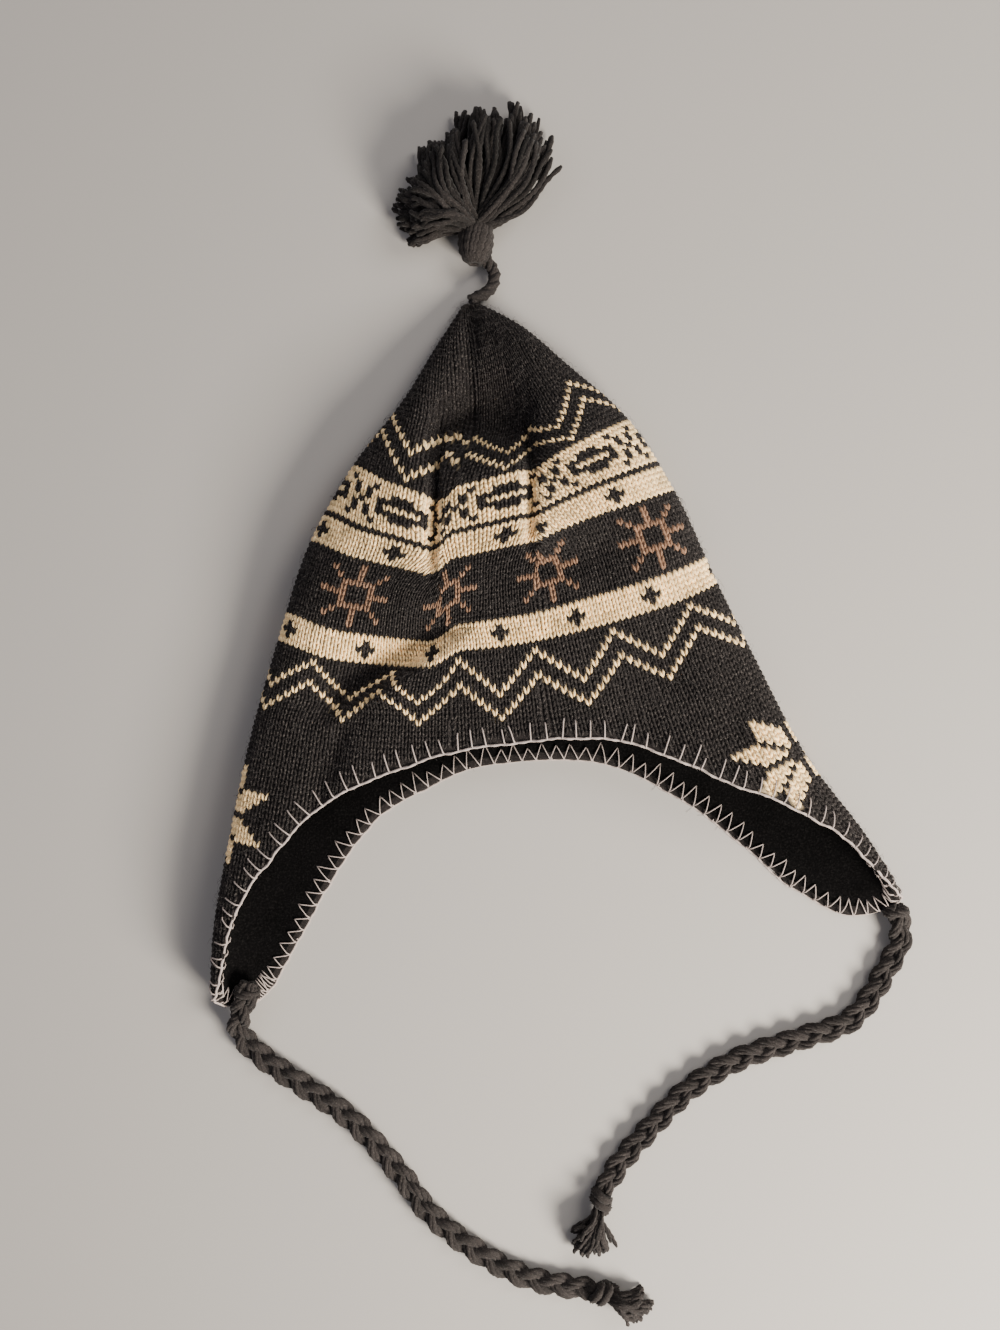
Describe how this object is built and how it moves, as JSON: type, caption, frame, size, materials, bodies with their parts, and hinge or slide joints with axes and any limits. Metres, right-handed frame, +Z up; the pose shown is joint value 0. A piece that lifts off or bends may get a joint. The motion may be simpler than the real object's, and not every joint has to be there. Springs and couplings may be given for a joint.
{
  "type": "chullo hat",
  "caption": "Knitted winter hat with a pointed crown, ear flaps, fleece lining, a tassel at the tip and plaited ties, lying on its back.",
  "frame": {"origin": "on the floor, under the middle of the hat without its ties and tassel", "axes": "+Z up from the floor, +Y towards the tip of the crown, +X towards the right flap as seen from above"},
  "size_m": [0.3634, 0.6338, 0.045],
  "materials": {
    "knit": "heathered charcoal wool knit",
    "fleece": "black fleece",
    "yarn": "thick charcoal wool yarn"
  },
  "bodies": {
    "root": {"knit_shell": "knit", "fleece_lining": "fleece", "tassel_cord": "yarn", "tassel": "yarn", "left_tie": "yarn", "left_tie_tuft": "yarn", "right_tie": "yarn", "right_tie_tuft": "yarn"}
  },
  "joints": []
}
